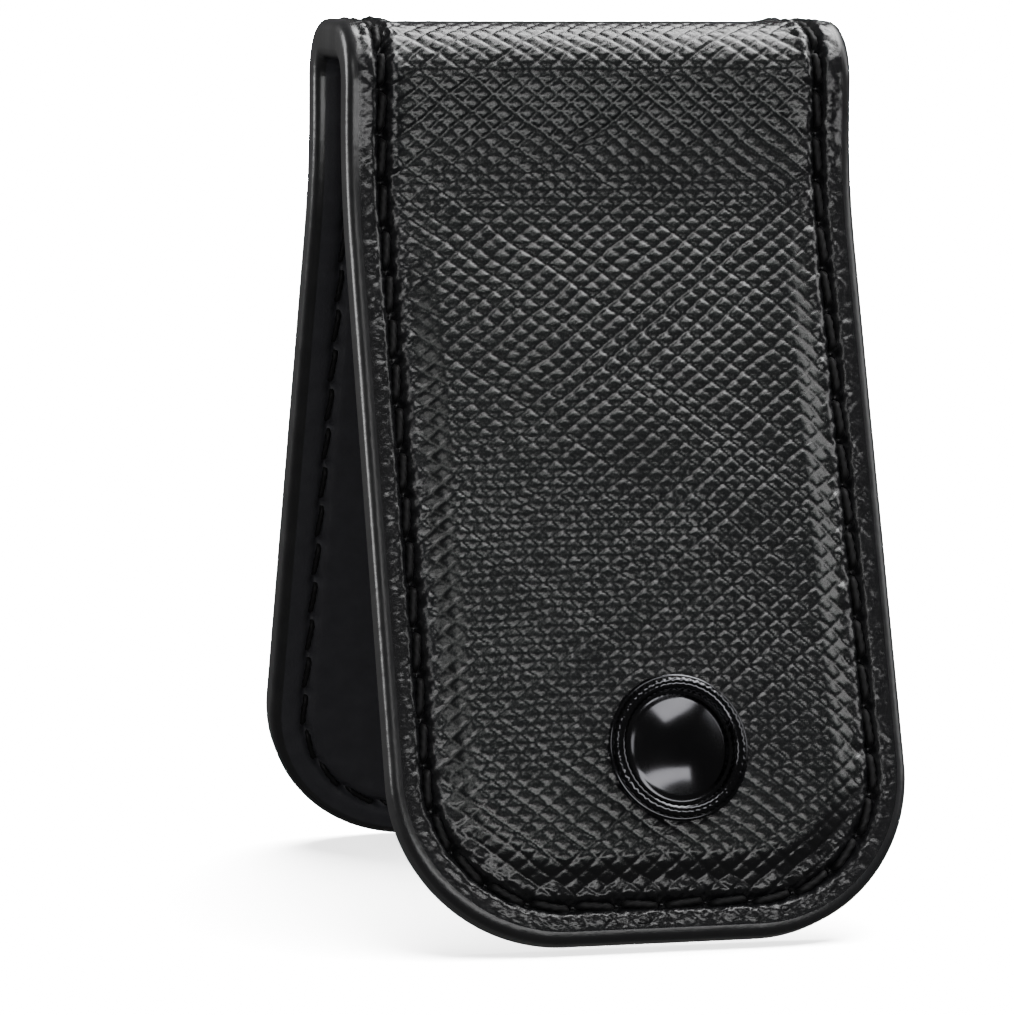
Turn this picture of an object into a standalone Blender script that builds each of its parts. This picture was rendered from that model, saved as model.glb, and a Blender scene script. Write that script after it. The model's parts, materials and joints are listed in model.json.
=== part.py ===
"""Folded leather money clip, standing on the tips of its two leaves.

One strip of leather, lining and stitching is folded over at the top. The fold has a short flat
top between two round corners, then the strip runs straight down for a short neck on each side,
and each leaf splays outwards below. Inside each leaf a board holds two disc magnets under a
foam pad. The strip bends at the fold's corners and under its necks, so it is cut into rigid
pieces there: three over the fold, and one neck on each side.
"""

import math

import bmesh
import bpy
from mathutils import Matrix, Vector

MM = 0.001

# Driving dimensions, in millimetres.
WIDTH = 38.0
FOLD_DEPTH = 13.6
FOLD_CORNER = 4.4
STRIP_THICKNESS = 2.9
NECK_DROP = 12.0
LEAF_LENGTH = 55.9
SPLAY = math.radians(19.7)
CORNER_RADIUS = 12.0
UPPER_CORNER = 0.15
GAP = 0.3

# Layers of a leaf, as heights above its inner face.
LINING_TOP = 1.2
COVER_BOTTOM = LINING_TOP + GAP
BOARD_BOTTOM = LINING_TOP + GAP
BOARD_THICKNESS = 1.0
FOAM_BOTTOM = BOARD_BOTTOM + BOARD_THICKNESS + GAP
FOAM_THICKNESS = 0.7
FOAM_TOP = FOAM_BOTTOM + FOAM_THICKNESS
COVER_THICKNESS = 0.8
PAD_TOP = FOAM_TOP + GAP + COVER_THICKNESS
PAD_FOOT_INSET = 3.4
PAD_TOP_INSET = 7.4
PAD_RISE_START = 1.0

# The seam, a needle thread in a groove outside and a bobbin thread in a groove inside.
SEAM_INSET = 2.6
GROOVE_HALF_WIDTH = 0.7
NEEDLE_GROOVE_DEPTH = 0.6
NEEDLE_RADIUS = 0.25
BOBBIN_GROOVE_DEPTH = 0.7
BOBBIN_RADIUS = 0.2
THREAD_GAP = 0.25
THREAD_SIDES = 6
NEEDLE_HEIGHT = STRIP_THICKNESS - NEEDLE_GROOVE_DEPTH + THREAD_GAP + NEEDLE_RADIUS
BOBBIN_HEIGHT = BOBBIN_GROOVE_DEPTH - THREAD_GAP - BOBBIN_RADIUS
THREADS = {"needle": (NEEDLE_HEIGHT, NEEDLE_RADIUS), "bobbin": (BOBBIN_HEIGHT, BOBBIN_RADIUS)}

MAGNET_RADIUS = 5.0
MAGNET_SPACING = 13.0
MAGNET_FROM_TIP = 14.0
BOARD_INSET = 6.3
BOARD_TOP_INSET = 6.8

EMBLEM_CENTRE = (1.5, 42.6)
EMBLEM_HALF = (5.2, 5.4)
EMBLEM_THICKNESS = 1.0
EMBLEM_EDGE = 0.35
PRONG_SPACING = 5.0
PRONG_RADIUS = 0.4
PRONG_HOLE_RADIUS = 0.75
PRONG_STEPS = 12
BACKING_HALF = (3.3, 4.0)

FOLD_PIECES = 3
CORNER_STEPS = 7
ARC_STEPS = 4
ROUND_STEPS = 24

HINGES = FOLD_PIECES + 1
HINGE_STEP = math.pi / HINGES
QUARTER = math.pi / 2
INNER_HALF = FOLD_DEPTH / 2 - STRIP_THICKNESS
FLAT_HALF = FOLD_DEPTH / 2 - FOLD_CORNER
HEIGHT = NECK_DROP + LEAF_LENGTH * math.cos(SPLAY)
HALF = WIDTH / 2

# Rings of points on a leaf, as (inset from the sides and tip, drop from the upper end).
SEAM_RINGS = [
    (0.0, 0.0),
    (SEAM_INSET - GROOVE_HALF_WIDTH, 0.15),
    (SEAM_INSET, 0.3),
    (SEAM_INSET + GROOVE_HALF_WIDTH, 0.45),
]
PAD_RINGS = [(4.4, 3.0), (5.9, 5.0), (PAD_TOP_INSET, PAD_TOP_INSET)]
THREAD_START = 0.7

# Which side of the fold each leaf hangs on, along Y.
SIDES = {"front": -1.0, "rear": 1.0}


def clear_scene():
    for obj in list(bpy.data.objects):
        bpy.data.objects.remove(obj, do_unlink=True)


def principled(name, color, roughness, metallic=0.0):
    material = bpy.data.materials.new(name)
    material.use_nodes = True
    shader = material.node_tree.nodes["Principled BSDF"]
    shader.inputs["Base Color"].default_value = (*color, 1.0)
    shader.inputs["Roughness"].default_value = roughness
    shader.inputs["Metallic"].default_value = metallic
    return material


def leaf_place(leaf):
    """A function from (u, v, w) on a leaf, in millimetres, to a point in metres."""
    side = SIDES[leaf]
    start = Vector((0.0, side * INNER_HALF, HEIGHT - NECK_DROP))
    down = Vector((0.0, side * math.sin(SPLAY), -math.cos(SPLAY)))
    out = Vector((0.0, side * math.cos(SPLAY), math.sin(SPLAY)))

    def place(u, v, w):
        return (start + Vector((u, 0.0, 0.0)) + down * v + out * w) * MM

    return place


def neck_place(side):
    """Like leaf_place for the straight neck: v runs down from the end of the fold's corner."""

    def place(u, v, w):
        return Vector((u, side * (INNER_HALF + w), HEIGHT - FOLD_CORNER - v)) * MM

    return place


def fold_point(u, angle, w, side):
    """A point on a corner of the fold: angle 0 is at the front neck, pi at the rear one."""
    radius = FOLD_CORNER - STRIP_THICKNESS + w
    y = side * FLAT_HALF - radius * math.cos(angle)
    return Vector((u, y, HEIGHT - FOLD_CORNER + radius * math.sin(angle))) * MM


def bump(distance, half_width):
    """1 at distance 0, falling smoothly to 0 at the half width."""
    if abs(distance) >= half_width:
        return 0.0
    return 0.5 + 0.5 * math.cos(math.pi * distance / half_width)


def rise(value, low, high):
    """0 below low, 1 above high, a smooth step between."""
    t = min(1.0, max(0.0, (value - low) / (high - low)))
    return t * t * (3.0 - 2.0 * t)


def edge_distance(u, v):
    """Distance inwards from a leaf's sides and rounded tip, not from its upper end."""
    across = HALF - abs(u)
    along = LEAF_LENGTH - v
    if across < CORNER_RADIUS and along < CORNER_RADIUS:
        corner = math.hypot(CORNER_RADIUS - across, CORNER_RADIUS - along)
        return CORNER_RADIUS - corner
    return min(across, along)


def pad_share(u, v):
    """How much of the pad's full rise a point has: 0 on the border, 1 on the flat middle."""
    sides = rise(edge_distance(u, v), PAD_FOOT_INSET, PAD_TOP_INSET)
    return sides * rise(v, PAD_RISE_START, PAD_TOP_INSET)


def cover_height(u, v):
    """The leaf's outer face: a flat border, the seam's groove, and the raised pad."""
    groove = bump(edge_distance(u, v) - SEAM_INSET, GROOVE_HALF_WIDTH)
    pad = (PAD_TOP - STRIP_THICKNESS) * pad_share(u, v)
    return STRIP_THICKNESS + pad - NEEDLE_GROOVE_DEPTH * groove


def cover_underside(u, v):
    return COVER_BOTTOM + (PAD_TOP - COVER_THICKNESS - COVER_BOTTOM) * pad_share(u, v)


def lining_underside(u, v):
    return BOBBIN_GROOVE_DEPTH * bump(edge_distance(u, v) - SEAM_INSET, GROOVE_HALF_WIDTH)


def corner_arc(centre_u, centre_v, radius, start):
    """A quarter turn of points on an outline, starting at the given angle."""
    points = []
    for step in range(CORNER_STEPS + 1):
        angle = start + 0.5 * math.pi * step / CORNER_STEPS
        points.append((centre_u + radius * math.cos(angle), centre_v + radius * math.sin(angle)))
    return points


def leaf_outline(inset, top):
    """A leaf's outline moved inwards, with its upper end at v = top, as (u, v) points."""
    bottom = max(CORNER_RADIUS - inset, 1.0)
    upper = UPPER_CORNER
    side = HALF - inset
    end = LEAF_LENGTH - inset
    points = corner_arc(side - bottom, end - bottom, bottom, 0.0)
    points += corner_arc(-side + bottom, end - bottom, bottom, 0.5 * math.pi)
    points += corner_arc(-side + upper, top + upper, upper, math.pi)
    points += corner_arc(side - upper, top + upper, upper, 1.5 * math.pi)
    return points


def ellipse(centre, half, steps=ROUND_STEPS):
    """An oval of (u, v) points with these half widths."""
    points = []
    for step in range(steps):
        angle = 2.0 * math.pi * step / steps
        u = centre[0] + half[0] * math.cos(angle)
        points.append((u, centre[1] + half[1] * math.sin(angle)))
    return points


def object_from(name, bm, material):
    bmesh.ops.recalc_face_normals(bm, faces=bm.faces)
    mesh = bpy.data.meshes.new(name)
    bm.to_mesh(mesh)
    bm.free()
    mesh.materials.append(material)
    obj = bpy.data.objects.new(name, mesh)
    bpy.context.scene.collection.objects.link(obj)
    return obj


def stack(name, loops, material):
    """A closed solid through loops of equally many points, with a flat cap at each end."""
    bm = bmesh.new()
    rings = [[bm.verts.new(point) for point in loop] for loop in loops]
    for lower, upper in zip(rings, rings[1:]):
        for index in range(len(lower)):
            after = (index + 1) % len(lower)
            bm.faces.new((lower[index], lower[after], upper[after], upper[index]))
    bm.faces.new(rings[0])
    bm.faces.new(rings[-1])
    return object_from(name, bm, material)


def plate(name, place, outline, low, high, material):
    """A flat plate between two heights above a leaf's inner face."""
    loops = [[place(u, v, w) for u, v in outline] for w in (low, high)]
    return stack(name, loops, material)


def cut(obj, cutter):
    """Cuts the cutter's shape from the object and keeps the cutter as a hidden guide."""
    cutter.hide_render = True
    cutter.display_type = "WIRE"
    modifier = obj.modifiers.new("hole", "BOOLEAN")
    modifier.operation = "DIFFERENCE"
    modifier.object = cutter
    return cutter


def body(name, axis_point, objects):
    """Parents a rigid body's objects, where they stand, to an empty on its joint's axis."""
    empty = bpy.data.objects.new(name, None)
    bpy.context.scene.collection.objects.link(empty)
    empty.location = axis_point
    for obj in objects:
        obj.parent = empty
        obj.matrix_parent_inverse = Matrix.Translation(-axis_point)


def leaf_start():
    """Where a leaf's pieces begin, clear of the neck above in spite of the bend."""
    return GAP / 2 + STRIP_THICKNESS * math.tan(SPLAY / 2)


def leaf_cover(leaf, material):
    place = leaf_place(leaf)
    outer = []
    inner = []
    for inset, drop in SEAM_RINGS + PAD_RINGS:
        outline = leaf_outline(inset, leaf_start() + drop)
        outer.append([place(u, v, cover_height(u, v)) for u, v in outline])
        inner.append([place(u, v, cover_underside(u, v)) for u, v in outline])
    return stack(f"{leaf}_cover", list(reversed(inner)) + outer, material)


def leaf_lining(leaf, material):
    place = leaf_place(leaf)
    face = []
    for inset, drop in SEAM_RINGS:
        outline = leaf_outline(inset, leaf_start() + drop)
        face.append([place(u, v, lining_underside(u, v)) for u, v in outline])
    back = [place(u, v, LINING_TOP) for u, v in leaf_outline(0.0, leaf_start())]
    return stack(f"{leaf}_lining", list(reversed(face)) + [back], material)


def magnet_centres():
    v = LEAF_LENGTH - MAGNET_FROM_TIP
    return {"left": (-MAGNET_SPACING / 2, v), "right": (MAGNET_SPACING / 2, v)}


def leaf_core(leaf, board, foam, steel):
    """The board with its two magnets, and the foam pad that rounds the cover."""
    place = leaf_place(leaf)
    outline = leaf_outline(BOARD_INSET, BOARD_TOP_INSET)
    top = BOARD_BOTTOM + BOARD_THICKNESS
    stiffener = plate(f"{leaf}_board", place, outline, BOARD_BOTTOM, top, board)
    outline = leaf_outline(PAD_TOP_INSET + GAP, PAD_TOP_INSET + 1.0)
    pad = plate(f"{leaf}_foam", place, outline, FOAM_BOTTOM, FOAM_TOP, foam)
    made = [pad, stiffener]
    hole_radius = MAGNET_RADIUS + GAP
    for side, centre in magnet_centres().items():
        disc = ellipse(centre, (MAGNET_RADIUS, MAGNET_RADIUS))
        made.append(plate(f"{leaf}_magnet_{side}", place, disc, BOARD_BOTTOM, top, steel))
        hole = ellipse(centre, (hole_radius, hole_radius))
        cutter = plate(f"{leaf}_hole_{side}", place, hole, BOARD_BOTTOM - GAP, top + GAP, board)
        made.append(cut(stiffener, cutter))
    return made


def emblem_prongs():
    u, v = EMBLEM_CENTRE
    return ((u, v - PRONG_SPACING / 2), (u, v + PRONG_SPACING / 2))


def cut_prong_holes(obj, name, place, low, high, material):
    cutters = []
    for index, centre in enumerate(emblem_prongs(), 1):
        hole = ellipse(centre, (PRONG_HOLE_RADIUS, PRONG_HOLE_RADIUS), PRONG_STEPS)
        cutters.append(cut(obj, plate(f"{name}_{index}", place, hole, low, high, material)))
    return cutters


def emblem_front(place, metal):
    """The oval plate: a raised rim round a shallow dome, from its underside upwards."""
    low = PAD_TOP + GAP
    top = low + EMBLEM_THICKNESS
    levels = [
        (EMBLEM_EDGE, low),
        (0.0, low + EMBLEM_EDGE),
        (0.0, top - EMBLEM_EDGE),
        (EMBLEM_EDGE, top),
        (2 * EMBLEM_EDGE, top - EMBLEM_EDGE / 2),
        (3 * EMBLEM_EDGE, top - EMBLEM_EDGE),
        (7 * EMBLEM_EDGE, top - EMBLEM_EDGE / 2),
    ]
    loops = []
    for inset, w in levels:
        half = (EMBLEM_HALF[0] - inset, EMBLEM_HALF[1] - inset)
        loops.append([place(u, v, w) for u, v in ellipse(EMBLEM_CENTRE, half)])
    return stack("emblem_plate", loops, metal)


def emblem(place, cover, foam, metal):
    """The plate with its two prongs, and the backing plate that they clench behind the cover."""
    front = emblem_front(place, metal)
    made = [front]
    inside = PAD_TOP + GAP + EMBLEM_EDGE
    for index, centre in enumerate(emblem_prongs(), 1):
        bar = ellipse(centre, (PRONG_RADIUS, PRONG_RADIUS), PRONG_STEPS)
        prong = plate(f"prong_{index}", place, bar, FOAM_BOTTOM, inside, metal)
        made.append(cut(front, prong))
        front.modifiers[-1].operation = "UNION"
    outline = ellipse(EMBLEM_CENTRE, BACKING_HALF)
    backing = plate("emblem_backing_plate", place, outline, FOAM_BOTTOM, FOAM_TOP, metal)
    made.append(backing)
    below = FOAM_BOTTOM - GAP / 2
    made += cut_prong_holes(backing, "backing_hole", place, below, FOAM_TOP + GAP / 2, metal)
    made += cut_prong_holes(cover, "cover_hole", place, FOAM_TOP, PAD_TOP + GAP / 2, metal)
    window = ellipse(EMBLEM_CENTRE, (BACKING_HALF[0] + GAP, BACKING_HALF[1] + GAP))
    window_cutter = plate("foam_window", place, window, below, FOAM_TOP + GAP / 2, metal)
    made.append(cut(foam, window_cutter))
    return made


def tube(name, points, radius, material):
    """A round thread of one body through the points, which lie in metres."""
    curve = bpy.data.curves.new(name, "CURVE")
    curve.dimensions = "3D"
    curve.bevel_depth = radius * MM
    curve.bevel_resolution = THREAD_SIDES // 2 - 2
    curve.use_fill_caps = True
    spline = curve.splines.new("POLY")
    spline.points.add(len(points) - 1)
    for slot, point in zip(spline.points, points):
        slot.co = (*point, 1.0)
    curve.materials.append(material)
    obj = bpy.data.objects.new(name, curve)
    bpy.context.scene.collection.objects.link(obj)
    return obj


def leaf_seam_route():
    """The seam from the upper right, round the tip, to the upper left, as (u, v) points."""
    top = leaf_start() + THREAD_START
    outline = leaf_outline(SEAM_INSET, top)
    around = outline[: 2 * (CORNER_STEPS + 1)]
    side = HALF - SEAM_INSET
    straight = 4
    route = []
    for step in range(straight):
        route.append((side, top + (around[0][1] - top) * step / straight))
    route += around
    for step in range(1, straight + 1):
        route.append((-side, around[-1][1] + (top - around[-1][1]) * step / straight))
    return route


def leaf_threads(leaf, thread):
    place = leaf_place(leaf)
    route = leaf_seam_route()
    made = []
    for kind, (w, radius) in THREADS.items():
        points = [place(u, v, w) for u, v in route]
        made.append(tube(f"{leaf}_{kind}_thread", points, radius, thread))
    return made


def cover_section():
    """The bent strip's outer layer from edge to edge, as (u, height) points, closed below."""
    seam = HALF - SEAM_INSET
    near = seam - GROOVE_HALF_WIDTH
    far = seam + GROOVE_HALF_WIDTH
    low = STRIP_THICKNESS - NEEDLE_GROOVE_DEPTH
    top = STRIP_THICKNESS
    upper = [(-HALF, top), (-far, top), (-seam, low), (-near, top)]
    upper += [(near, top), (seam, low), (far, top), (HALF, top)]
    return upper + [(HALF, COVER_BOTTOM), (-HALF, COVER_BOTTOM)]


def lining_section():
    seam = HALF - SEAM_INSET
    near = seam - GROOVE_HALF_WIDTH
    far = seam + GROOVE_HALF_WIDTH
    deep = BOBBIN_GROOVE_DEPTH
    lower = [(-HALF, 0.0), (-far, 0.0), (-seam, deep), (-near, 0.0)]
    lower += [(near, 0.0), (seam, deep), (far, 0.0), (HALF, 0.0)]
    return lower + [(HALF, LINING_TOP), (-HALF, LINING_TOP)]


def corner_stations(start, end, side):
    """Functions of (u, w) at steps round a corner of the fold, from one angle to another."""
    stations = []
    for step in range(ARC_STEPS + 1):
        angle = start + (end - start) * step / ARC_STEPS
        stations.append(lambda u, w, angle=angle: fold_point(u, angle, w, side))
    return stations


def fold_stations(index):
    """The stations of fold piece 1, 2 or 3, half a gap clear of its hinges."""
    clear = GAP / 2 / FOLD_CORNER
    start = HINGE_STEP * (index - 0.5) + clear
    end = HINGE_STEP * (index + 0.5) - clear
    if end < QUARTER:
        return corner_stations(start, end, -1.0)
    if start > QUARTER:
        return corner_stations(start, end, 1.0)
    return corner_stations(start, QUARTER, -1.0) + corner_stations(QUARTER, end, 1.0)


def neck_stations(side):
    """The same for a neck: its straight part, then the corner up to the first hinge."""
    place = neck_place(side)
    bottom = NECK_DROP - FOLD_CORNER - leaf_start()
    straight = [lambda u, w, v=v: place(u, v, w) for v in (bottom, bottom / 2)]
    end = HINGE_STEP / 2 - GAP / 2 / FOLD_CORNER
    if side < 0:
        return straight + corner_stations(0.0, end, side)
    return straight + corner_stations(math.pi, math.pi - end, side)


def bent_piece(name, stations, leathers, thread):
    """Cover, lining and the four runs of thread of one rigid piece of the bent strip."""
    made = []
    sections = {"cover": cover_section(), "lining": lining_section()}
    for layer, section in sections.items():
        loops = [[station(u, w) for u, w in section] for station in stations]
        made.append(stack(f"{name}_{layer}", loops, leathers[layer]))
    seam = HALF - SEAM_INSET
    for kind, (w, radius) in THREADS.items():
        for side, u in (("left", -seam), ("right", seam)):
            points = [station(u, w) for station in stations]
            made.append(tube(f"{name}_{kind}_thread_{side}", points, radius, thread))
    return made


def hinge_point(index):
    """The axis of hinge 1 to 4 of the fold, on the strip's outer face."""
    side = -1.0 if index <= HINGES / 2 else 1.0
    return fold_point(0.0, HINGE_STEP * (index - 0.5), STRIP_THICKNESS, side)


def bend_point(leaf):
    """The axis between a leaf and its neck, on the strip's inner face."""
    return leaf_place(leaf)(0.0, 0.0, 0.0)


def make_leaf(leaf, leathers, thread):
    """All pieces of one leaf; the front one also carries the emblem."""
    board = principled("fibre_board", (0.28, 0.22, 0.15), 0.85)
    foam = principled("foam", (0.08, 0.08, 0.08), 0.95)
    steel = principled("magnet_nickel", (0.62, 0.62, 0.60), 0.25, 1.0)
    cover = leaf_cover(leaf, leathers["cover"])
    made = [cover, leaf_lining(leaf, leathers["lining"])]
    core = leaf_core(leaf, board, foam, steel)
    made += core + leaf_threads(leaf, thread)
    if leaf == "front":
        gunmetal = principled("black_nickel", (0.09, 0.09, 0.10), 0.16, 1.0)
        made += emblem(leaf_place(leaf), cover, core[0], gunmetal)
    return made


def make_fold(leathers, thread):
    """The necks and the round pieces between them, each turning about its own hinge."""
    for index in range(1, FOLD_PIECES + 1):
        pieces = bent_piece(f"fold_{index}", fold_stations(index), leathers, thread)
        body(f"fold_{index}", hinge_point(index), pieces)
    front = bent_piece("front_neck", neck_stations(-1.0), leathers, thread)
    body("front_neck", bend_point("front"), front)
    rear = bent_piece("rear_neck", neck_stations(1.0), leathers, thread)
    body("rear_neck", hinge_point(HINGES), rear)


def main():
    clear_scene()
    leathers = {
        "cover": principled("black_saffiano", (0.012, 0.012, 0.014), 0.34),
        "lining": principled("black_lining", (0.016, 0.017, 0.020), 0.55),
    }
    thread = principled("black_thread", (0.010, 0.010, 0.011), 0.50)
    body("front_leaf", Vector(), make_leaf("front", leathers, thread))
    body("rear_leaf", bend_point("rear"), make_leaf("rear", leathers, thread))
    make_fold(leathers, thread)


main()
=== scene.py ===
"""Folded leather money clip: embossed cover, smooth lining, painted edges, lock stitches, plaque.

The strip is described in sheet coordinates, in millimetres: u across it, m along its outer face
from the middle of the fold towards a leaf's tip, and w above its inner face. Every piece is a
closed mesh made from those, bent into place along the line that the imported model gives.
"""

import json
import math

import bmesh
import bpy
import numpy as np
from mathutils import Matrix, Vector


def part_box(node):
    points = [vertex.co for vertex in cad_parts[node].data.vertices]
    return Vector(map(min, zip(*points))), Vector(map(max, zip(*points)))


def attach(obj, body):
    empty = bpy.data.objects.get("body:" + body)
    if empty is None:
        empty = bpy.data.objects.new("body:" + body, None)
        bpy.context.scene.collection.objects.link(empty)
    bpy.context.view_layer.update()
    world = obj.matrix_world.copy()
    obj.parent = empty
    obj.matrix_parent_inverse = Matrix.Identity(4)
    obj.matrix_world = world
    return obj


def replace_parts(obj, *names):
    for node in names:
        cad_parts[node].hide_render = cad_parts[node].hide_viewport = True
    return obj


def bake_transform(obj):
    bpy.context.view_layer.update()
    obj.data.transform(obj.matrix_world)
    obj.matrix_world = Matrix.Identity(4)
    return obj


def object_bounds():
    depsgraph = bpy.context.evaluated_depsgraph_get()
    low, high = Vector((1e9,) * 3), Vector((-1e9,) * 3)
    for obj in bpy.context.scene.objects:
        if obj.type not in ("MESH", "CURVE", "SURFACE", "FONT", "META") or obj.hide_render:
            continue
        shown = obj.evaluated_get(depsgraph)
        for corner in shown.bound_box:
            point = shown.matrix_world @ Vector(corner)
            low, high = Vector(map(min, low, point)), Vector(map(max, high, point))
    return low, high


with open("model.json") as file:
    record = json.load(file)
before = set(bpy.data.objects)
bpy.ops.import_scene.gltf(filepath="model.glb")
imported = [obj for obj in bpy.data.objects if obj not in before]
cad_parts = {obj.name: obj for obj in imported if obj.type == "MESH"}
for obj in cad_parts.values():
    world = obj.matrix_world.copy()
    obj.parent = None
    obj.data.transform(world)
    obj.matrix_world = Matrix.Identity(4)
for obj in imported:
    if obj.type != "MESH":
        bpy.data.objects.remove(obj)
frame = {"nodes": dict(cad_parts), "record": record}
CAD_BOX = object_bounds()

MM = 0.001
RECORD = frame["record"]
JOINTS = {joint["name"]: joint["pos_m"] for joint in RECORD["behaviour"]["joints"]}
MOUNTS = {mount["name"]: mount for mount in RECORD["mounts"]}

# The strip's own sizes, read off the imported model.
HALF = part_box("fold_2_cover")[1][0] / MM
TOP = CAD_BOX[1][2] / MM
INNER_HALF = JOINTS["rear_leaf_flex"][1] / MM
KINK_Z = JOINTS["rear_leaf_flex"][2] / MM
HINGE_ANGLES = (math.radians(67.5), math.radians(22.5))
HINGE_Y = (-JOINTS["fold_hinge_2"][1] / MM, -JOINTS["fold_hinge_1"][1] / MM)
FOLD_CORNER = (HINGE_Y[1] - HINGE_Y[0]) / (math.cos(HINGE_ANGLES[1]) - math.cos(HINGE_ANGLES[0]))
FLAT_HALF = HINGE_Y[0] - FOLD_CORNER * math.cos(HINGE_ANGLES[0])
THICKNESS = FLAT_HALF + FOLD_CORNER - INNER_HALF
JAW_AXIS = MOUNTS["rear_jaw_face"]["axis"]
SPLAY = math.atan2(-JAW_AXIS[2], -JAW_AXIS[1])
LEAF_LENGTH = KINK_Z / math.cos(SPLAY)
PAD_POINT = MOUNTS["rear_pad_face"]["pos_m"]
PAD_TOP = ((PAD_POINT[1] / MM - INNER_HALF) * math.cos(SPLAY)
           + (PAD_POINT[2] / MM - KINK_Z) * math.sin(SPLAY))

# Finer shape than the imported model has.
TIP_CORNER = 12.0
EDGE_ROUND = 0.8
SEAM_INSET = 2.6
PITCH = 3.2
LAYER_JOIN = 1.35
KINK_REACH = 5.0
CELL = 1.0
CELL_ANGLE = math.radians(38.0)
CELL_DEPTH = 0.135
LINE_JITTER = 0.12
LINE_HALF_WIDTH = 0.2
COVER_STEP = 0.155
LINING_STEP = 0.34

# The padded leaf: shares of the pad's height, and the distances in from the edge or along the
# leaf over which each part of it rises.
PAD_STEEP_SHARE = 0.72
PAD_STEEP_SIDES = (3.2, 6.2)
PAD_STEEP_RUN = (-9.0, 24.0)
PAD_CROWN_SHARE = 0.34
PAD_CROWN_SIDES = (4.5, 15.0)
PAD_CROWN_RUN = (-6.0, 28.0)
SINK_DEPTH = 0.18
SINK_SIDES = (3.0, 5.5)
SINK_RUN = (-14.0, 8.0)
BORDER = (2.1, 3.6)
EDGE_FADE = (EDGE_ROUND, EDGE_ROUND + 0.5)

# The seam: half width of its groove, size of its holes, and the places of the puckers beside it.
GROOVE_WIDTH = 0.42
HOLE_DEPTH = 0.45
HOLE_WIDTH = 0.34
INNER_PUCKER = (0.95, 0.48)
OUTER_PUCKER = (0.85, 0.42)
COVER_GROOVE = 0.55
COVER_PUCKER = 0.17
LINING_GROOVE = 0.42
LINING_PUCKER = 0.05

# One stitch of twisted thread.
STRANDS = 3
STRAND_ROUND = 14
STRAND_BULGE = 0.14
TWIST_LENGTH = 0.75
STITCH_STEPS = 14
STITCH_END = 0.05
STITCH_DIVE = 0.7
STITCH_TAPER = 0.35
DIVE_SHARPNESS = 7

# Lengths of the runs of the strip, along its outer face, and where each begins.
INNER_CORNER = FOLD_CORNER - THICKNESS
KINK_RADIUS = KINK_REACH / math.tan(SPLAY / 2)
NECK = TOP - KINK_Z - FOLD_CORNER - KINK_REACH
RUNS = [
    FLAT_HALF,
    FOLD_CORNER * math.pi / 4,
    FOLD_CORNER * math.pi / 4,
    NECK,
    (KINK_RADIUS - THICKNESS) * SPLAY,
    LEAF_LENGTH - KINK_REACH,
]
STARTS = [0.0]
for run in RUNS:
    STARTS.append(STARTS[-1] + run)
LEAF_START = STARTS[5]
TIP = STARTS[6]


# ------------------------------------------------------------------ noise and profiles
def hash_noise(ix, iy, seed):
    """A repeatable random number from 0 to 1 for each pair of whole numbers."""
    h = ix.astype(np.int64) * 374761393 + iy.astype(np.int64) * 668265263 + seed * 974634777
    h = (h ^ (h >> 13)) * 1274126177
    h = (h ^ (h >> 16)) & 0xFFFFFF
    return h / float(0xFFFFFF)


def noise(x, y, size, seed):
    """Smooth noise from -1 to 1 with features of this size."""
    x = x / size
    y = y / size
    ix = np.floor(x)
    iy = np.floor(y)
    fx = x - ix
    fy = y - iy
    fx = fx * fx * (3 - 2 * fx)
    fy = fy * fy * (3 - 2 * fy)
    low = hash_noise(ix, iy, seed) * (1 - fx) + hash_noise(ix + 1, iy, seed) * fx
    high = hash_noise(ix, iy + 1, seed) * (1 - fx) + hash_noise(ix + 1, iy + 1, seed) * fx
    return 2.0 * (low * (1 - fy) + high * fy) - 1.0


def rise(value, low, high):
    """A smooth step from 0 at the low end to 1 at the high one."""
    t = np.clip((value - low) / (high - low), 0.0, 1.0)
    return t * t * (3.0 - 2.0 * t)


def hump(distance, width):
    """1 at no distance, and near 0 beyond twice the width."""
    return np.exp(-((distance / width) ** 2))


def edge_distance(u, m):
    """Distance inwards from the strip's sides and round tips; m may have either sign."""
    across = HALF - np.abs(u)
    along = TIP - np.abs(m)
    corner = TIP_CORNER - np.hypot(TIP_CORNER - across, TIP_CORNER - along)
    in_corner = (across < TIP_CORNER) & (along < TIP_CORNER)
    return np.where(in_corner, corner, np.minimum(across, along))


CORNER_LINE = (TIP_CORNER - SEAM_INSET) * math.pi / 2
SIDE_LINE = TIP - TIP_CORNER
BOTTOM_LINE = 2 * (HALF - TIP_CORNER)


def seam_place(u, m):
    """How far along the seam a point lies, from the fold's middle down and round the tip."""
    along = TIP - np.abs(m)
    inner_u = np.abs(u) - (HALF - TIP_CORNER)
    inner_m = TIP_CORNER - along
    turn = np.arctan2(np.maximum(inner_m, 0.0), np.maximum(inner_u, 1e-9))
    corner = SIDE_LINE + turn * (TIP_CORNER - SEAM_INSET)
    bottom = SIDE_LINE + CORNER_LINE + (HALF - TIP_CORNER) - np.abs(u)
    place = np.where(along > TIP_CORNER, np.abs(m), corner)
    return np.where((along <= TIP_CORNER) & (inner_u < 0) & (TIP - np.abs(m) < 6.5), bottom, place)


HALF_SEAM = SIDE_LINE + CORNER_LINE + BOTTOM_LINE / 2
STITCHES = round(HALF_SEAM / PITCH)
STITCH = HALF_SEAM / STITCHES


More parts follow.
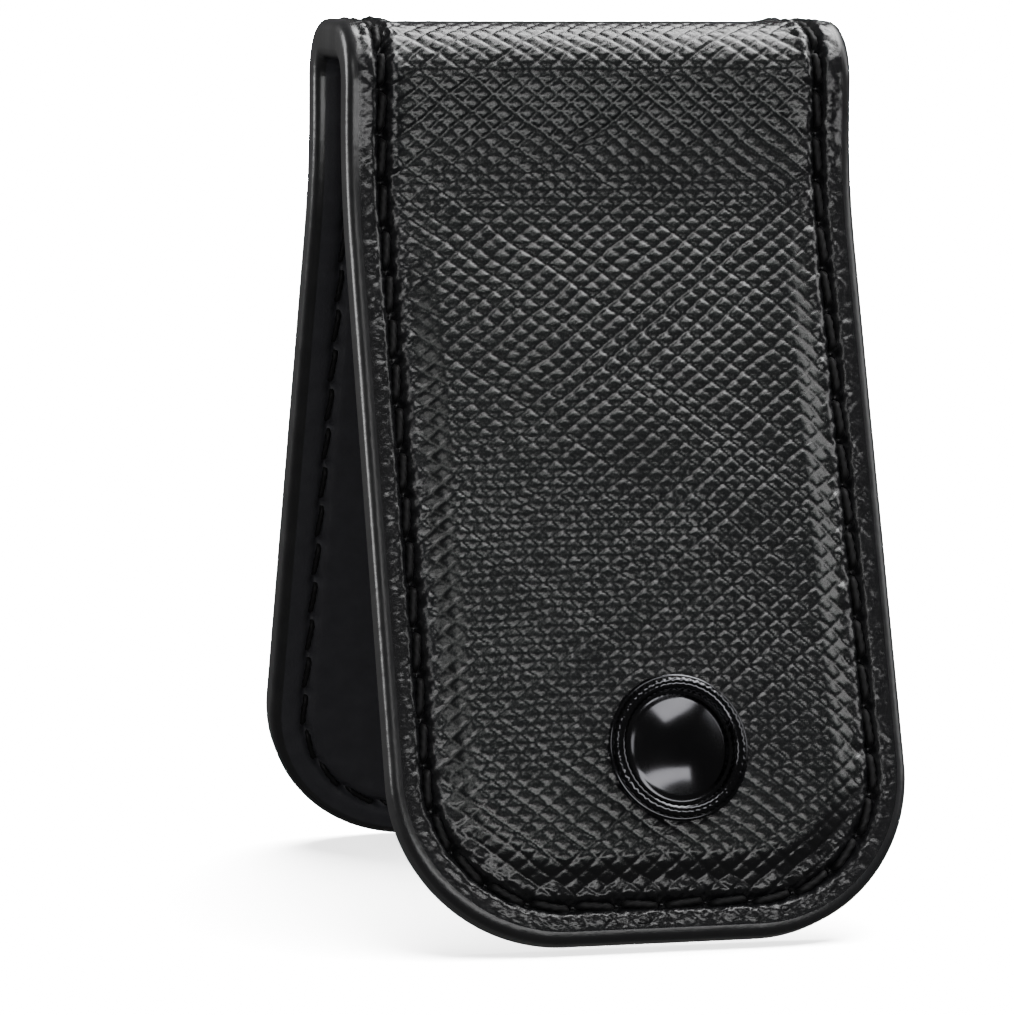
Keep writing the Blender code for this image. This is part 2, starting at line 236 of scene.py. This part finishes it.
def groove_lines(position, across, seed):
    """How near a point is to a pressed line of the grain: 1 on the line, 0 between lines."""
    row = np.floor(position / CELL)
    jitter = LINE_JITTER * (hash_noise(row, row * 0 + seed, seed) - 0.5)
    phase = position / CELL - row + jitter
    row_strength = 0.26 * hash_noise(row, row * 0, seed + 9)
    strength = 0.78 + row_strength + 0.2 * noise(across, position, 5.0, seed)
    near = 1.0 - np.minimum(phase, 1.0 - phase) / LINE_HALF_WIDTH
    return np.clip(near, 0.0, 1.0) * strength


def grain(u, m):
    """The cross-hatched emboss: flat-topped pillows between two sets of slanting lines."""
    wobble_u = 0.13 * noise(u, m, 2.3, 3) + 0.05 * noise(u, m, 0.7, 4)
    wobble_m = 0.13 * noise(u, m, 2.3, 5) + 0.05 * noise(u, m, 0.7, 6)
    x = u + wobble_u
    y = m + wobble_m
    first = y * math.cos(CELL_ANGLE) - x * math.sin(CELL_ANGLE)
    second = y * math.cos(CELL_ANGLE) + x * math.sin(CELL_ANGLE)
    lines = np.maximum(groove_lines(first, second, 11), groove_lines(second, first, 23))
    top = 0.10 * noise(u, m, 0.5, 7) + 0.05 * noise(u, m, 0.24, 8)
    return CELL_DEPTH * (top - lines)


def pebbles(u, m):
    """The fine, squashed grain of the border outside the seam."""
    return 0.055 * noise(u, m, 0.42, 31) + 0.035 * noise(u, m, 0.24, 32)


def seam_shape(u, m, depth, pucker):
    """The seam's groove, its holes, and the leather puckered up between them."""
    inset = edge_distance(u, m)
    place = seam_place(u, m) / STITCH
    phase = place - np.floor(place)
    from_hole = np.minimum(phase, 1.0 - phase) * STITCH
    swell = 0.5 - 0.5 * np.cos(2 * math.pi * phase)
    off = inset - SEAM_INSET
    groove = depth * hump(off, GROOVE_WIDTH)
    hole = HOLE_DEPTH * hump(off, HOLE_WIDTH) * hump(from_hole, HOLE_WIDTH)
    inner = pucker * (0.35 + 0.9 * swell) * hump(off - INNER_PUCKER[0], INNER_PUCKER[1])
    outer = 0.55 * pucker * (0.3 + 0.9 * swell) * hump(off + OUTER_PUCKER[0], OUTER_PUCKER[1])
    wrinkle = 0.55 * pucker * noise(u, m, 0.55, 41) * hump(off - 0.6, 1.0)
    return inner + outer + wrinkle - groove - hole


def cover_height(u, m):
    """The outer face above the inner one, for the whole strip."""
    inset = edge_distance(u, m)
    down = np.abs(m) - LEAF_START + KINK_REACH
    pad = PAD_TOP - THICKNESS
    steep = pad * PAD_STEEP_SHARE * rise(inset, *PAD_STEEP_SIDES) * rise(down, *PAD_STEEP_RUN)
    crown = pad * PAD_CROWN_SHARE * rise(inset, *PAD_CROWN_SIDES) * rise(down, *PAD_CROWN_RUN)
    sink = SINK_DEPTH * rise(inset, *SINK_SIDES) * (1.0 - rise(down, *SINK_RUN))
    inside = rise(inset, *BORDER)
    texture = grain(u, m) * (0.45 + 0.55 * inside) + pebbles(u, m) * (1.0 - inside)
    texture *= rise(inset, *EDGE_FADE)
    seam = seam_shape(u, m, COVER_GROOVE, COVER_PUCKER)
    return THICKNESS + steep + crown - sink + texture + seam


def lining_height(u, m):
    """The inner face, nearly flat but for the seam."""
    fine = 0.012 * noise(u, m, 1.3, 51) * rise(edge_distance(u, m), *EDGE_FADE)
    return -fine - seam_shape(u, m, LINING_GROOVE, LINING_PUCKER)


def bent(side, u, m, w):
    """Sheet coordinates to points in metres; side is -1 for the front half, 1 for the rear."""
    m = np.asarray(m, float)
    corner = np.clip(m - STARTS[1], 0.0, RUNS[1] + RUNS[2])
    neck = np.clip(m - STARTS[3], 0.0, NECK)
    kink = np.clip(m - STARTS[4], 0.0, RUNS[4])
    leaf = np.maximum(m - LEAF_START, 0.0)
    turn = corner / FOLD_CORNER
    bend = kink / (KINK_RADIUS - THICKNESS)
    y = np.minimum(m, FLAT_HALF) + INNER_CORNER * np.sin(turn)
    z = TOP - THICKNESS - INNER_CORNER * (1 - np.cos(turn)) - neck
    y = y + KINK_RADIUS * (1 - np.cos(bend)) + leaf * math.sin(SPLAY)
    z = z - KINK_RADIUS * np.sin(bend) - leaf * math.cos(SPLAY)
    lean = turn - bend
    y = y + w * np.sin(lean)
    z = z + w * np.cos(lean)
    return np.stack([u + 0 * y, side * y, z], axis=-1) * MM


# ------------------------------------------------------------------ mesh making
def object_from(name, mesh):
    """An object in the scene that holds this mesh."""
    obj = bpy.data.objects.new(name, mesh)
    bpy.context.scene.collection.objects.link(obj)
    return obj


def skin(bm, rings, ring_shape=False):
    """Faces between successive rings, whose ends are joined to each other or capped."""
    following = rings[1:] + rings[:1] if ring_shape else rings[1:]
    for first, second in zip(rings, following):
        for a in range(len(first)):
            b = (a + 1) % len(first)
            bm.faces.new((first[a], first[b], second[b], second[a]))
    if not ring_shape:
        bm.faces.new(rings[0])
        bm.faces.new(rings[-1])


def skinned_object(name, bm, material, smooth_caps):
    """An object from skinned rings, whose faces are smooth and whose caps may be flat."""
    bmesh.ops.recalc_face_normals(bm, faces=bm.faces)
    mesh = bpy.data.meshes.new(name)
    bm.to_mesh(mesh)
    bm.free()
    for polygon in mesh.polygons:
        polygon.use_smooth = smooth_caps or len(polygon.vertices) == 4
    mesh.materials.append(material)
    return object_from(name, mesh)


def sheet_object(name, points, faces, normals, uvs, marks, materials):
    """A smooth object with its own normals, sheet coordinates, and a material number per face."""
    mesh = bpy.data.meshes.new(name)
    mesh.from_pydata(points.tolist(), [], faces)
    mesh.polygons.foreach_set("use_smooth", [True] * len(faces))
    layer = mesh.uv_layers.new(name="sheet")
    corners = np.empty(len(mesh.loops), np.int32)
    mesh.loops.foreach_get("vertex_index", corners)
    layer.data.foreach_set("uv", uvs[corners].astype(np.float32).ravel())
    for material in materials:
        mesh.materials.append(material)
    mesh.polygons.foreach_set("material_index", marks)
    mesh.normals_split_custom_set_from_vertices(normals.tolist())
    return object_from(name, mesh)


def smooth_normals(points, quads):
    """Vertex normals that weigh each face by its area."""
    diagonals = points[quads[:, 2]] - points[quads[:, 0]], points[quads[:, 3]] - points[quads[:, 1]]
    across = np.cross(*diagonals)
    total = np.zeros_like(points)
    for corner in range(4):
        np.add.at(total, quads[:, corner], across)
    return total / np.maximum(np.linalg.norm(total, axis=1)[:, None], 1e-20)


def band(first, second):
    """Quads between two equally long rows of vertex numbers."""
    first, second = np.asarray(first), np.asarray(second)
    return np.stack([first[:-1], first[1:], second[1:], second[:-1]], axis=1)


def rows_between(start, end, step, tip):
    """Places of the rows along m; round the tip they are spaced evenly along the outline."""
    stop = TIP - TIP_CORNER if tip else end
    count = max(2, math.ceil((stop - start) / step))
    rows = list(np.linspace(start, stop, count + 1))
    if tip:
        radius = TIP_CORNER - EDGE_ROUND
        turns = math.ceil(radius * math.pi / 2 / step)
        rows += [stop + radius * math.sin(math.pi / 2 * i / turns) for i in range(1, turns + 1)]
    return rows


def half_width(m):
    """Half the width of the flat face, inside the rounded edge."""
    over = np.clip(m - (TIP - TIP_CORNER), 0.0, TIP_CORNER - EDGE_ROUND)
    radius = TIP_CORNER - EDGE_ROUND
    return HALF - TIP_CORNER + np.sqrt(np.maximum(radius**2 - over**2, 0.0))


def outward(u, m):
    """The direction in the sheet that leads straight off its outline."""
    du = np.maximum(np.abs(u) - (HALF - TIP_CORNER), 0.0) * np.sign(u)
    dm = np.maximum(m - (TIP - TIP_CORNER), 0.0)
    straight = m <= TIP - TIP_CORNER
    du = np.where(straight, np.sign(u), du)
    size = np.hypot(du, dm)
    return du / size, dm / size


# How far the rounded edge goes out and drops, at each step round it.
BEAD = [
    (EDGE_ROUND * math.sin(angle), EDGE_ROUND * (1 - math.cos(angle)))
    for angle in np.radians([22.5, 45, 67.5, 90])
]
UV_PER_MM = 0.1


def face_grid(start, end, step, tip):
    """The face's points as u, m and their numbers, with a spare row beyond each open end."""
    rows = rows_between(start, end, step, tip)
    rows = np.array([rows[0] - step] + rows + ([] if tip else [rows[-1] + step]))
    columns = math.ceil(2 * (HALF - EDGE_ROUND) / step) + 1
    m = np.repeat(rows[:, None], columns, axis=1)
    u = half_width(rows)[:, None] * np.linspace(-1.0, 1.0, columns)[None, :]
    return u, m, np.arange(m.size).reshape(m.shape)


def edge_rings(path, face, sign, count):
    """The points of the rounded edge beside a path on the face, and the numbers in each ring."""
    u, m, w = (values[path] for values in face)
    du, dm = outward(u, m)
    points = [(u + out * du, m + out * dm, w - sign * drop) for out, drop in BEAD]
    join = np.full(len(path), LAYER_JOIN)
    points.append((u + EDGE_ROUND * du, m + EDGE_ROUND * dm, join))
    rings = [path] + [count + k * len(path) + np.arange(len(path)) for k in range(len(points))]
    return points, rings


def spare_points(grid, edges, tip, total):
    """Which points belong to the spare rows, which only serve the normals."""
    spare = np.zeros(total, bool)
    spare[grid[0]] = True
    if not tip:
        spare[grid[-1]] = True
    for rings in edges:
        for ring in rings[1:]:
            spare[ring[[0, -1]]] = True
    return spare


def closing_faces(grid, edges, tip):
    """The faces that close a layer: the one against the other layer, and its cut ends."""
    near_left = [ring[1] for ring in edges[0][1:]]
    near_right = [ring[-2] for ring in edges[-1][1:]]
    near = np.concatenate([grid[1][::-1], near_left, near_right[::-1]])
    if tip:
        return [edges[0][-1][1:-1], near]
    far_left = [ring[-2] for ring in edges[0][1:]]
    far_right = [ring[1] for ring in edges[1][1:]]
    far = np.concatenate([grid[-2], far_right, far_left[::-1]])
    return list(band(edges[0][-1][1:-1], edges[1][-1][::-1][1:-1])) + [far, near]


def layer_piece(name, side, start, end, height, sign, step, materials):
    """One closed layer of the strip between two places along it.

    sign is 1 for the cover, whose face looks outwards, and -1 for the lining. A spare row beyond
    each open end gives the normals there, so that two pieces meet without a line in the shading.
    """
    tip = end > TIP - 0.001
    u, m, grid = face_grid(start, end, step, tip)
    parts = [(u.ravel(), m.ravel(), height(u, m).ravel())]
    quads = [band(near[::-1], far[::-1])[:, ::-1] for near, far in zip(grid, grid[1:])]
    face_quads = sum(len(row) for row in quads)
    left, right = grid[:, 0], grid[::-1, -1]
    paths = [np.concatenate([left, grid[-1, 1:-1], right])] if tip else [left, right]
    edges = []
    count = m.size
    for path in paths:
        points, rings = edge_rings(path, parts[0], sign, count)
        parts += points
        count += len(points) * len(path)
        quads += [band(first, second) for first, second in zip(rings, rings[1:])]
        edges.append(rings)
    quads = np.concatenate(quads)
    u, m, w = (np.concatenate([part[axis] for part in parts]) for axis in range(3))
    points = bent(np.where(m < 0, -side, side), u, np.abs(m), w)
    normals = smooth_normals(points, quads)
    spare = spare_points(grid, edges, tip, len(points))
    kept = np.nonzero(~spare[quads].any(axis=1))[0]
    closing = closing_faces(grid, edges, tip)
    marks = [0 if k < face_quads else 1 for k in kept] + [1] * len(closing)
    renumber = np.cumsum(~spare) - 1
    faces = [tuple(renumber[face].tolist()) for face in list(quads[kept]) + closing]
    middle = grid[len(grid) // 2, grid.shape[1] // 2]
    middle_side = side if m[middle] >= 0 else -side
    off = bent(middle_side, u[middle], abs(m[middle]), w[middle] + sign)
    if np.dot(normals[middle], off - points[middle]) < 0:
        faces = [face[::-1] for face in faces]
        normals = -normals
    uvs = np.stack([u, m * side], axis=1) * UV_PER_MM
    return sheet_object(name, points[~spare], faces, normals[~spare], uvs[~spare], marks, materials)


def seam_point(t):
    """The point of the right-hand seam this far from the fold's middle, and the way off the sheet."""
    radius = TIP_CORNER - SEAM_INSET
    turn = np.clip((t - SIDE_LINE) / radius, 0.0, math.pi / 2)
    along_tip = np.maximum(t - SIDE_LINE - CORNER_LINE, 0.0)
    u = HALF - TIP_CORNER + radius * np.cos(turn) - along_tip
    m = np.minimum(t, SIDE_LINE) + radius * np.sin(turn)
    return u, m, np.cos(turn), np.sin(turn)


def add_stitch(bm, side, hand, number, base, sign, radius, slant):
    """One lock stitch between two holes: three twisted strands that dive in at both ends."""
    share = np.linspace(0.0, 1.0, STITCH_STEPS)
    ends = np.abs(2 * share - 1) ** DIVE_SHARPNESS
    t = (number + STITCH_END + (1 - 2 * STITCH_END) * share) * STITCH
    u, m, out_u, out_m = seam_point(t)
    shift = slant * (2 * share - 1)
    lift = base + sign * (0.9 * radius - STITCH_DIVE * ends)
    size = radius * (1.0 - STITCH_TAPER * ends)
    angle = np.arange(STRAND_ROUND) * 2 * math.pi / STRAND_ROUND
    rings = []
    for k in range(STITCH_STEPS):
        twist = STRANDS * angle - 2 * math.pi * t[k] / TWIST_LENGTH
        reach = size[k] * (1.0 + STRAND_BULGE * np.cos(twist))
        off = shift[k] + reach * np.cos(angle)
        across = hand * (u[k] + out_u[k] * off)
        along = m[k] + out_m[k] * off
        ring = bent(side, across, along, lift[k] + reach * np.sin(angle))
        rings.append([bm.verts.new(point) for point in ring])
    skin(bm, rings)


def stitches(name, sides, zone, base, sign, radius, slant):
    """All the stitches whose middle lies in this zone, on both edges of the strip."""
    bm = bmesh.new()
    for number in range(STITCHES):
        place = min((number + 0.5) * STITCH, LEAF_START + 1.0)
        if not STARTS[zone] <= place < STARTS[zone + 1]:
            continue
        for hand in (-1, 1):
            for side in sides:
                add_stitch(bm, side, hand, number, base, sign, radius, slant)
    return skinned_object(name, bm, THREAD, smooth_caps=True)


# ------------------------------------------------------------------ materials
def link(tree, source, target):
    tree.links.new(source, target)


def ramp_between(tree, value, low, high):
    """A number that follows a 0 to 1 value between two ends."""
    node = tree.nodes.new("ShaderNodeMapRange")
    node.inputs["To Min"].default_value = low
    node.inputs["To Max"].default_value = high
    link(tree, value, node.inputs["Value"])
    return node.outputs["Result"]


def noise_node(tree, vector, scale, detail=3.0):
    node = tree.nodes.new("ShaderNodeTexNoise")
    node.inputs["Scale"].default_value = scale
    node.inputs["Detail"].default_value = detail
    link(tree, vector, node.inputs["Vector"])
    return node.outputs["Fac"]


def surface(name, dark, light, rough, scale, bumps, metallic=0.0, specular=0.5, coat=0.0, coordinates="UV"):
    """A material whose colour and gloss wander with a noise, with fine relief on top.

    bumps are (noise scale, height in metres).
    """
    material = bpy.data.materials.new(name)
    material.use_nodes = True
    tree = material.node_tree
    shader = tree.nodes["Principled BSDF"]
    shader.inputs["Metallic"].default_value = metallic
    shader.inputs["Specular IOR Level"].default_value = specular
    shader.inputs["Coat Weight"].default_value = coat
    shader.inputs["Coat Roughness"].default_value = 0.32
    where = tree.nodes.new("ShaderNodeTexCoord").outputs[coordinates]
    wander = noise_node(tree, where, scale)
    mix = tree.nodes.new("ShaderNodeMix")
    mix.data_type = "RGBA"
    mix.inputs["A"].default_value = (*dark, 1.0)
    mix.inputs["B"].default_value = (*light, 1.0)
    link(tree, wander, mix.inputs["Factor"])
    link(tree, mix.outputs["Result"], shader.inputs["Base Color"])
    link(tree, ramp_between(tree, wander, rough[0], rough[1]), shader.inputs["Roughness"])
    normal = None
    for bump_scale, height in bumps:
        bump = tree.nodes.new("ShaderNodeBump")
        bump.inputs["Distance"].default_value = height
        link(tree, noise_node(tree, where, bump_scale, 4.0), bump.inputs["Height"])
        if normal is not None:
            link(tree, normal, bump.inputs["Normal"])
        normal = bump.outputs["Normal"]
    if normal is not None:
        link(tree, normal, shader.inputs["Normal"])
    return material


COVER = surface("embossed_black_leather", (0.003, 0.003, 0.0036), (0.007, 0.007, 0.008), (0.2, 0.3), 9.0,
                [(60.0, 0.00002), (150.0, 0.000008)], specular=0.5, coat=0.1)
LINING = surface("smooth_black_lining", (0.026, 0.026, 0.030), (0.042, 0.042, 0.048), (0.42, 0.56), 7.0,
                 [(45.0, 0.000012), (130.0, 0.000008)], specular=0.32)
EDGE = surface("black_edge_paint", (0.010, 0.010, 0.011), (0.019, 0.019, 0.020), (0.24, 0.38), 5.0,
               [(9.0, 0.00005), (60.0, 0.000006)], specular=0.5)
THREAD = surface("waxed_black_thread", (0.002, 0.002, 0.0022), (0.006, 0.006, 0.0065), (0.55, 0.7), 900.0,
                 [(4000.0, 0.00002)], specular=0.25, coordinates="Object")
NICKEL = surface("black_nickel", (0.035, 0.035, 0.038), (0.06, 0.06, 0.064), (0.1, 0.18), 300.0,
                 [(700.0, 0.000002)], metallic=1.0, coordinates="Object")
STEEL = surface("nickel_plated_magnet", (0.52, 0.52, 0.5), (0.66, 0.66, 0.64), (0.2, 0.32), 400.0,
                [(1500.0, 0.00001)], metallic=1.0, coordinates="Object")
BOARD = surface("bonded_fibre_board", (0.2, 0.15, 0.1), (0.33, 0.26, 0.18), (0.8, 0.95), 900.0,
                [(2500.0, 0.00008)], coordinates="Object")
FOAM = surface("dense_foam", (0.05, 0.05, 0.05), (0.1, 0.1, 0.1), (0.85, 0.98), 1500.0,
               [(3000.0, 0.0001)], coordinates="Object")


# ------------------------------------------------------------------ the strip's pieces
CHAINS = {
    -1: ["fold_2", "fold_1", "front_neck", "front_leaf"],
    1: ["fold_2", "fold_3", "rear_neck", "rear_leaf"],
}
NAMES = {-1: "front", 1: "rear"}
# Zone number: its name, and the links of the chain that it lies on, one or two.
ZONES = {
    1: ("upper_bend", 0, 1),
    2: ("lower_bend", 1, 2),
    3: ("neck", 2, 2),
    4: ("flex", 2, 3),
    5: ("leaf", 3, 3),
}
# Which CAD body's solids each zone's pieces stand for.
STANDS_FOR = {2: 1, 3: 2, 5: 3}


def follow(piece, side, zone):
    """Makes a piece of this zone move with its body; a piece that lies between two bodies is only fixed in
    place and follows neither.
    """
    chain = CHAINS[side]
    name, first, second = ZONES[zone]
    if first == second:
        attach(piece, chain[first])
        return
    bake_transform(piece)


def stand_for(piece, body, kind):
    """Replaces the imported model's solids of this kind on this body."""
    if body.endswith("leaf"):
        body = body.split("_")[0]
    elif kind.endswith("thread"):
        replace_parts(piece, f"{body}_{kind}_left", f"{body}_{kind}_right")
        return
    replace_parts(piece, f"{body}_{kind}")


# Each layer's height, the way it faces (1 outwards, -1 inwards), its mesh step and its materials.
LAYERS = {
    "cover": (cover_height, 1, COVER_STEP, [COVER, EDGE]),
    "lining": (lining_height, -1, LINING_STEP, [LINING, EDGE]),
}
# Each thread's height, the way it faces, its radius, and how far a stitch slants across the seam.
SEAMS = {
    "needle_thread": (THICKNESS - 0.62, 1, 0.27, 0.14),
    "bobbin_thread": (0.42, -1, 0.2, 0.16),
}


def strip_pieces(label, side, start, end, sides, zone):
    """The two layers and two threads of one length of the strip, by kind."""
    made = {}
    for kind, look in LAYERS.items():
        made[kind] = layer_piece(f"{label}_{kind}_skin", side, start, end, *look)
    for kind, look in SEAMS.items():
        made[kind] = stitches(f"{label}_{kind}_stitches", sides, zone, *look)
    return made


def add_zone(side, zone):
    """One bending or stiff length of the strip on one side."""
    label = f"{NAMES[side]}_{ZONES[zone][0]}"
    made = strip_pieces(label, side, STARTS[zone], STARTS[zone + 1], [side], zone)
    for kind, piece in made.items():
        follow(piece, side, zone)
        if zone in STANDS_FOR:
            stand_for(piece, CHAINS[side][STANDS_FOR[zone]], kind)


def add_fold_top():
    """The flat top of the fold, which the two halves of the strip share."""
    for kind, piece in strip_pieces("fold_top", 1, -FLAT_HALF, FLAT_HALF, [-1, 1], 0).items():
        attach(piece, "fold_2")
        stand_for(piece, "fold_2", kind)


# ------------------------------------------------------------------ the plaque
PLAQUE_SEGMENTS = 144
PLAQUE_RISE = 0.75
PLAQUE_SEAT = 0.15
OVAL_EXTRA = 0.2
RIM_WIDTH = 1.75
RIM_DROP = 0.42
DOME_WIDTH = 3.3
DOME_RISE = 0.75
DOME_RINGS = 14
ROPE_TURNS = 56
ROPE_TWIST = 2.2
ROPE_RIPPLE = 0.07
ROPE_INSET = 0.8
ROPE_DROP = 0.28
ROPE_HALF_WIDTH = 0.45
ROPE_HALF_HEIGHT = 0.42
ROPE_RINGS = 12


def plaque_place():
    """The plaque's middle on the front leaf, as u and the way down the leaf, and its half width."""
    low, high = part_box("emblem_backing_plate")
    y = -(low[1] + high[1]) / 2 / MM - INNER_HALF
    z = KINK_Z - (low[2] + high[2]) / 2 / MM
    plate_low, plate_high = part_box("emblem_plate")
    half = (plate_high[0] - plate_low[0]) / 2 / MM
    return (low[0] + high[0]) / 2 / MM, y * math.sin(SPLAY) + z * math.cos(SPLAY), half


def add_oval(name, levels, ring_shape):
    """An oval form through rings of (inset, height, ripple), open in the middle if ring-shaped."""
    u0, v0, half = plaque_place()
    angle = np.arange(PLAQUE_SEGMENTS) * 2 * math.pi / PLAQUE_SEGMENTS
    bm = bmesh.new()
    rings = []
    for inset, w, ripple in levels:
        reach = ripple * np.cos(ROPE_TURNS * angle + ROPE_TWIST * w)
        u = u0 + (half - inset + reach) * np.cos(angle)
        v = v0 + (half + OVAL_EXTRA - inset + reach) * np.sin(angle)
        ring = bent(-1, u, LEAF_START - KINK_REACH + v, w + 0.5 * reach)
        rings.append([bm.verts.new(point) for point in ring])
    skin(bm, rings, ring_shape)
    obj = skinned_object(name, bm, NICKEL, smooth_caps=False)
    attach(obj, "front_leaf")
    return obj


def add_plaque():
    """A domed oval plate inside a twisted rope rim."""
    low = PAD_TOP - PLAQUE_SEAT
    top = PAD_TOP + PLAQUE_RISE
    ledge = top - RIM_DROP
    levels = [
        (0.35, low, 0.0),
        (0.12, low + 0.15, 0.0),
        (0.1, top - 0.5, 0.0),
        (0.3, ledge, 0.0),
        (1.4, top - 0.55, 0.0),
        (1.55, top - 0.55, 0.0),
        (RIM_WIDTH, ledge, 0.0),
    ]
    for share in np.arange(1, DOME_RINGS + 1) / DOME_RINGS:
        height = ledge + DOME_RISE * math.sin(share * math.pi / 2)
        levels.append((RIM_WIDTH + DOME_WIDTH * share, height, 0.0))
    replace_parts(add_oval("plaque_dome", levels, False), "emblem_plate")
    rope = []
    for turn in np.arange(ROPE_RINGS) * 2 * math.pi / ROPE_RINGS:
        inset = ROPE_INSET - ROPE_HALF_WIDTH * math.cos(turn)
        height = top - ROPE_DROP + ROPE_HALF_HEIGHT * math.sin(turn)
        rope.append((inset, height, ROPE_RIPPLE))
    add_oval("plaque_rope_rim", rope, True)


# ------------------------------------------------------------------ stage, lights and camera
# The viewpoint: a long lens a little to the left of the front and above. Angles are in radians
# and lengths in units of the strip's width.
VIEW_YAW = 0.269
VIEW_ELEVATION = 0.111
VIEW_ROLL = 0.009
VIEW_DISTANCE = 365.0 / 35.9
VIEW_DROP = 32.0 / 35.9
AIM_LEFT = 0.013083
AIM_DOWN = 0.0059066
SENSOR_MM = 36.0
LENS_MM = 184.3484


def camera_matrix():
    """The camera's place and turn."""
    yaw, elevation, roll = VIEW_YAW, VIEW_ELEVATION, VIEW_ROLL
    distance = VIEW_DISTANCE * 2 * HALF
    level = math.cos(elevation)
    forward = Vector((math.sin(yaw) * level, math.cos(yaw) * level, -math.sin(elevation)))
    right = Vector((math.cos(yaw), -math.sin(yaw), 0.0))
    up = right.cross(forward)
    cos_roll, sin_roll = math.cos(roll), math.sin(roll)
    right, up = cos_roll * right + sin_roll * up, cos_roll * up - sin_roll * right
    target = Vector((0.0, 0.0, TOP - VIEW_DROP * 2 * HALF))
    eye = target - distance * forward
    aim = target - distance * (AIM_LEFT * right + AIM_DOWN * up)
    ahead = (aim - eye).normalized()
    right = (right - ahead * right.dot(ahead)).normalized()
    turned = Matrix((right, right.cross(ahead), -ahead)).transposed()
    return Matrix.Translation(eye * MM) @ turned.to_4x4()


def add_camera():
    data = bpy.data.cameras.new("camera")
    camera = bpy.data.objects.new("camera", data)
    bpy.context.scene.collection.objects.link(camera)
    camera.matrix_world = camera_matrix()
    data.sensor_width = SENSOR_MM
    data.lens = LENS_MM
    data.clip_start = 0.01
    data.clip_end = 50.0
    bpy.context.scene.camera = camera


def area_light(name, place, size, power, aim=(0.0, 0.0, 0.0)):
    """A rectangular light, in metres and watts, turned towards a point."""
    data = bpy.data.lights.new(name, "AREA")
    data.shape = "RECTANGLE"
    data.size, data.size_y = size
    data.energy = power
    light = bpy.data.objects.new(name, data)
    light.location = place
    light.rotation_mode = "QUATERNION"
    light.rotation_quaternion = (Vector(aim) - Vector(place)).to_track_quat("-Z", "Y")
    bpy.context.scene.collection.objects.link(light)
    return light


FLOOR_SIZE = 1.8
FLOOR_Z = -0.00005
FLOOR_GLOW = 2.4
BACKDROP_RADIUS = 3.9
BACKDROP_GLOW = 60.0


def white_stage_material(name, base, glow):
    """A matt grey of this brightness that also glows white."""
    material = bpy.data.materials.new(name)
    material.use_nodes = True
    shader = material.node_tree.nodes["Principled BSDF"]
    shader.inputs["Base Color"].default_value = (base, base, base, 1.0)
    shader.inputs["Roughness"].default_value = 0.9
    shader.inputs["Specular IOR Level"].default_value = 0.0
    shader.inputs["Emission Color"].default_value = (1.0, 1.0, 1.0, 1.0)
    shader.inputs["Emission Strength"].default_value = glow
    return material


def add_stage():
    """A white floor, and a white dome round the whole set that only the camera sees."""
    bpy.ops.mesh.primitive_plane_add(size=FLOOR_SIZE, location=(0.0, 0.0, FLOOR_Z))
    floor = bpy.context.object
    floor.name = "floor"
    floor.data.materials.append(white_stage_material("white_floor", 0.8, FLOOR_GLOW))
    bpy.ops.mesh.primitive_uv_sphere_add(segments=48, ring_count=24, radius=BACKDROP_RADIUS)
    dome = bpy.context.object
    dome.name = "backdrop"
    dome.data.materials.append(white_stage_material("white_backdrop", 0.0, BACKDROP_GLOW))
    for obj in (floor, dome):
        obj.visible_diffuse = False
        obj.visible_glossy = False
        obj.visible_transmission = False
    dome.visible_shadow = False
    return floor


WORLD_STRENGTH = 0.1
LIGHT_AIM = (0.0, 0.0, 0.035)
# Name, place and size in metres, and watts.
LIGHTS = [
    ("top_softbox", (0.22, 0.1, 0.5), (0.45, 0.25), 4.8),
    ("front_softbox", (0.14, -0.24, 0.52), (0.4, 0.12), 1.1),
    ("right_softbox", (0.55, -0.1, 0.3), (0.3, 0.4), 1.2),
    ("left_softbox", (-0.4, -0.42, 0.34), (0.2, 0.2), 0.45),
    ("left_rim", (-0.5, 0.35, 0.2), (0.25, 0.4), 3.0),
    ("low_fill", (-0.1, -0.6, 0.03), (0.8, 0.12), 2.3),
]
FLOOR_LIGHT = ("floor_softbox", (0.3, 0.2, 1.6), (1.6, 1.6), 900.0)


def add_lights(floor):
    """Soft lights round the clip, and a bright one that lights only the floor."""
    world = bpy.data.worlds.new("studio")
    world.use_nodes = True
    background = world.node_tree.nodes["Background"]
    background.inputs["Color"].default_value = (1.0, 1.0, 1.0, 1.0)
    background.inputs["Strength"].default_value = WORLD_STRENGTH
    bpy.context.scene.world = world
    for name, place, size, power in LIGHTS:
        area_light(name, place, size, power, LIGHT_AIM)
    lit = bpy.data.collections.new("lit_by_floor_softbox")
    lit.objects.link(floor)
    area_light(*FLOOR_LIGHT).light_linking.receiver_collection = lit


# ------------------------------------------------------------------ the scene
def dress_inner_parts():
    """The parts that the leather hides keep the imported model's shape, with their own finish."""
    finishes = {"board": BOARD, "foam": FOAM, "magnet": STEEL, "backing": NICKEL}
    for name, obj in frame["nodes"].items():
        for word, material in finishes.items():
            if word in name:
                for slot in obj.material_slots:
                    slot.material = material


add_camera()
add_lights(add_stage())
dress_inner_parts()
add_fold_top()
for way in (-1, 1):
    for number in ZONES:
        add_zone(way, number)
add_plaque()
